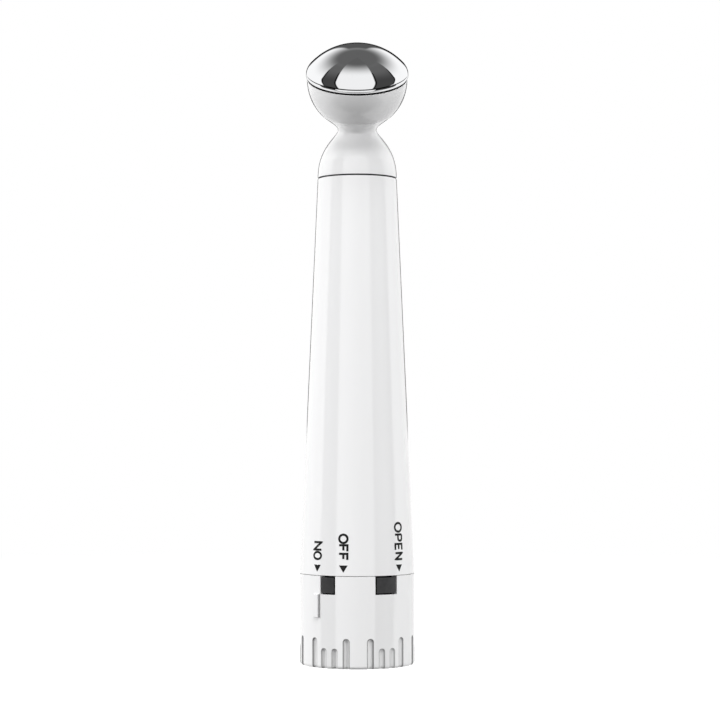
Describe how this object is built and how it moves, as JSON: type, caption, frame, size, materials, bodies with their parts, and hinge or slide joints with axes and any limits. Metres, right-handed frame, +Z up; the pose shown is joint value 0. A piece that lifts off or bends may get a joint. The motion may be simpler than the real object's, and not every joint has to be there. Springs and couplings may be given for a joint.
{
  "type": "eye massager",
  "caption": "Slim battery massager pen: a chromed dome on a leaning cup, a tapered white handle and a fluted twist cap that switches it on and comes off for the cell.",
  "frame": {"origin": "centre of the cap's flat bottom, on which the pen stands", "axes": "+Z up along the handle, -Y towards the side with the control marks, to which the head leans"},
  "size_m": [0.0236, 0.0279, 0.1279],
  "materials": {
    "white_plastic": "polished white moulding",
    "black_plastic": "fine satin black moulding",
    "black_rubber": "smooth black seal rubber",
    "grey_rubber": "soft grey damping rubber",
    "chrome": "mirror polished chrome plate",
    "nickel_steel": "nickel plated steel",
    "brass": "bright spring brass",
    "ivory_nylon": "ivory nylon moulding",
    "cell_sleeve": "plain printed shrink sleeve",
    "red_wire": "red wire cover",
    "black_wire": "black wire cover"
  },
  "bodies": {
    "handle": {"handle_shell": "white_plastic", "neck_gasket": "black_rubber", "head_housing": "white_plastic", "massage_dome": "chrome", "dome_screw": "nickel_steel", "motor_can": "nickel_steel", "motor_end_cap": "ivory_nylon", "motor_bush": "brass", "terminal_positive": "brass", "terminal_negative": "brass", "motor_sleeve": "grey_rubber", "bayonet_collar": "black_plastic", "battery_holder": "black_plastic", "positive_contact": "brass", "contact_strip": "brass", "wire_positive": "red_wire", "wire_negative": "black_wire"},
    "rotor": {"motor_shaft": "nickel_steel", "eccentric_weight": "brass"},
    "switch": {"switch_ring": "black_plastic"},
    "cap": {"cap_shell": "white_plastic", "spring_plate": "nickel_steel", "negative_spring": "nickel_steel"},
    "battery": {"battery_cell": "cell_sleeve"}
  },
  "joints": [
    {"name": "rotor_spin", "type": "hinge", "parent": "handle", "child": "rotor", "pos_m": [0, 0, 0.0935], "axis": [0, 0, 1], "continuous": true},
    {"name": "cap_turn", "type": "hinge", "parent": "handle", "child": "switch", "pos_m": [0, 0, 0.0184], "axis": [0, 0, 1], "range_deg": [0, 92]},
    {"name": "cap_pull", "type": "slide", "parent": "switch", "child": "cap", "axis": [0, 0, -1], "range_m": [0, 0.06]},
    {"name": "battery_slide", "type": "slide", "parent": "handle", "child": "battery", "axis": [0, 0, -1], "range_m": [0, 0.03]}
  ],
  "couplings": [
    {"joint": "battery_slide", "follows": "cap_pull", "ratio": 0.5}
  ]
}
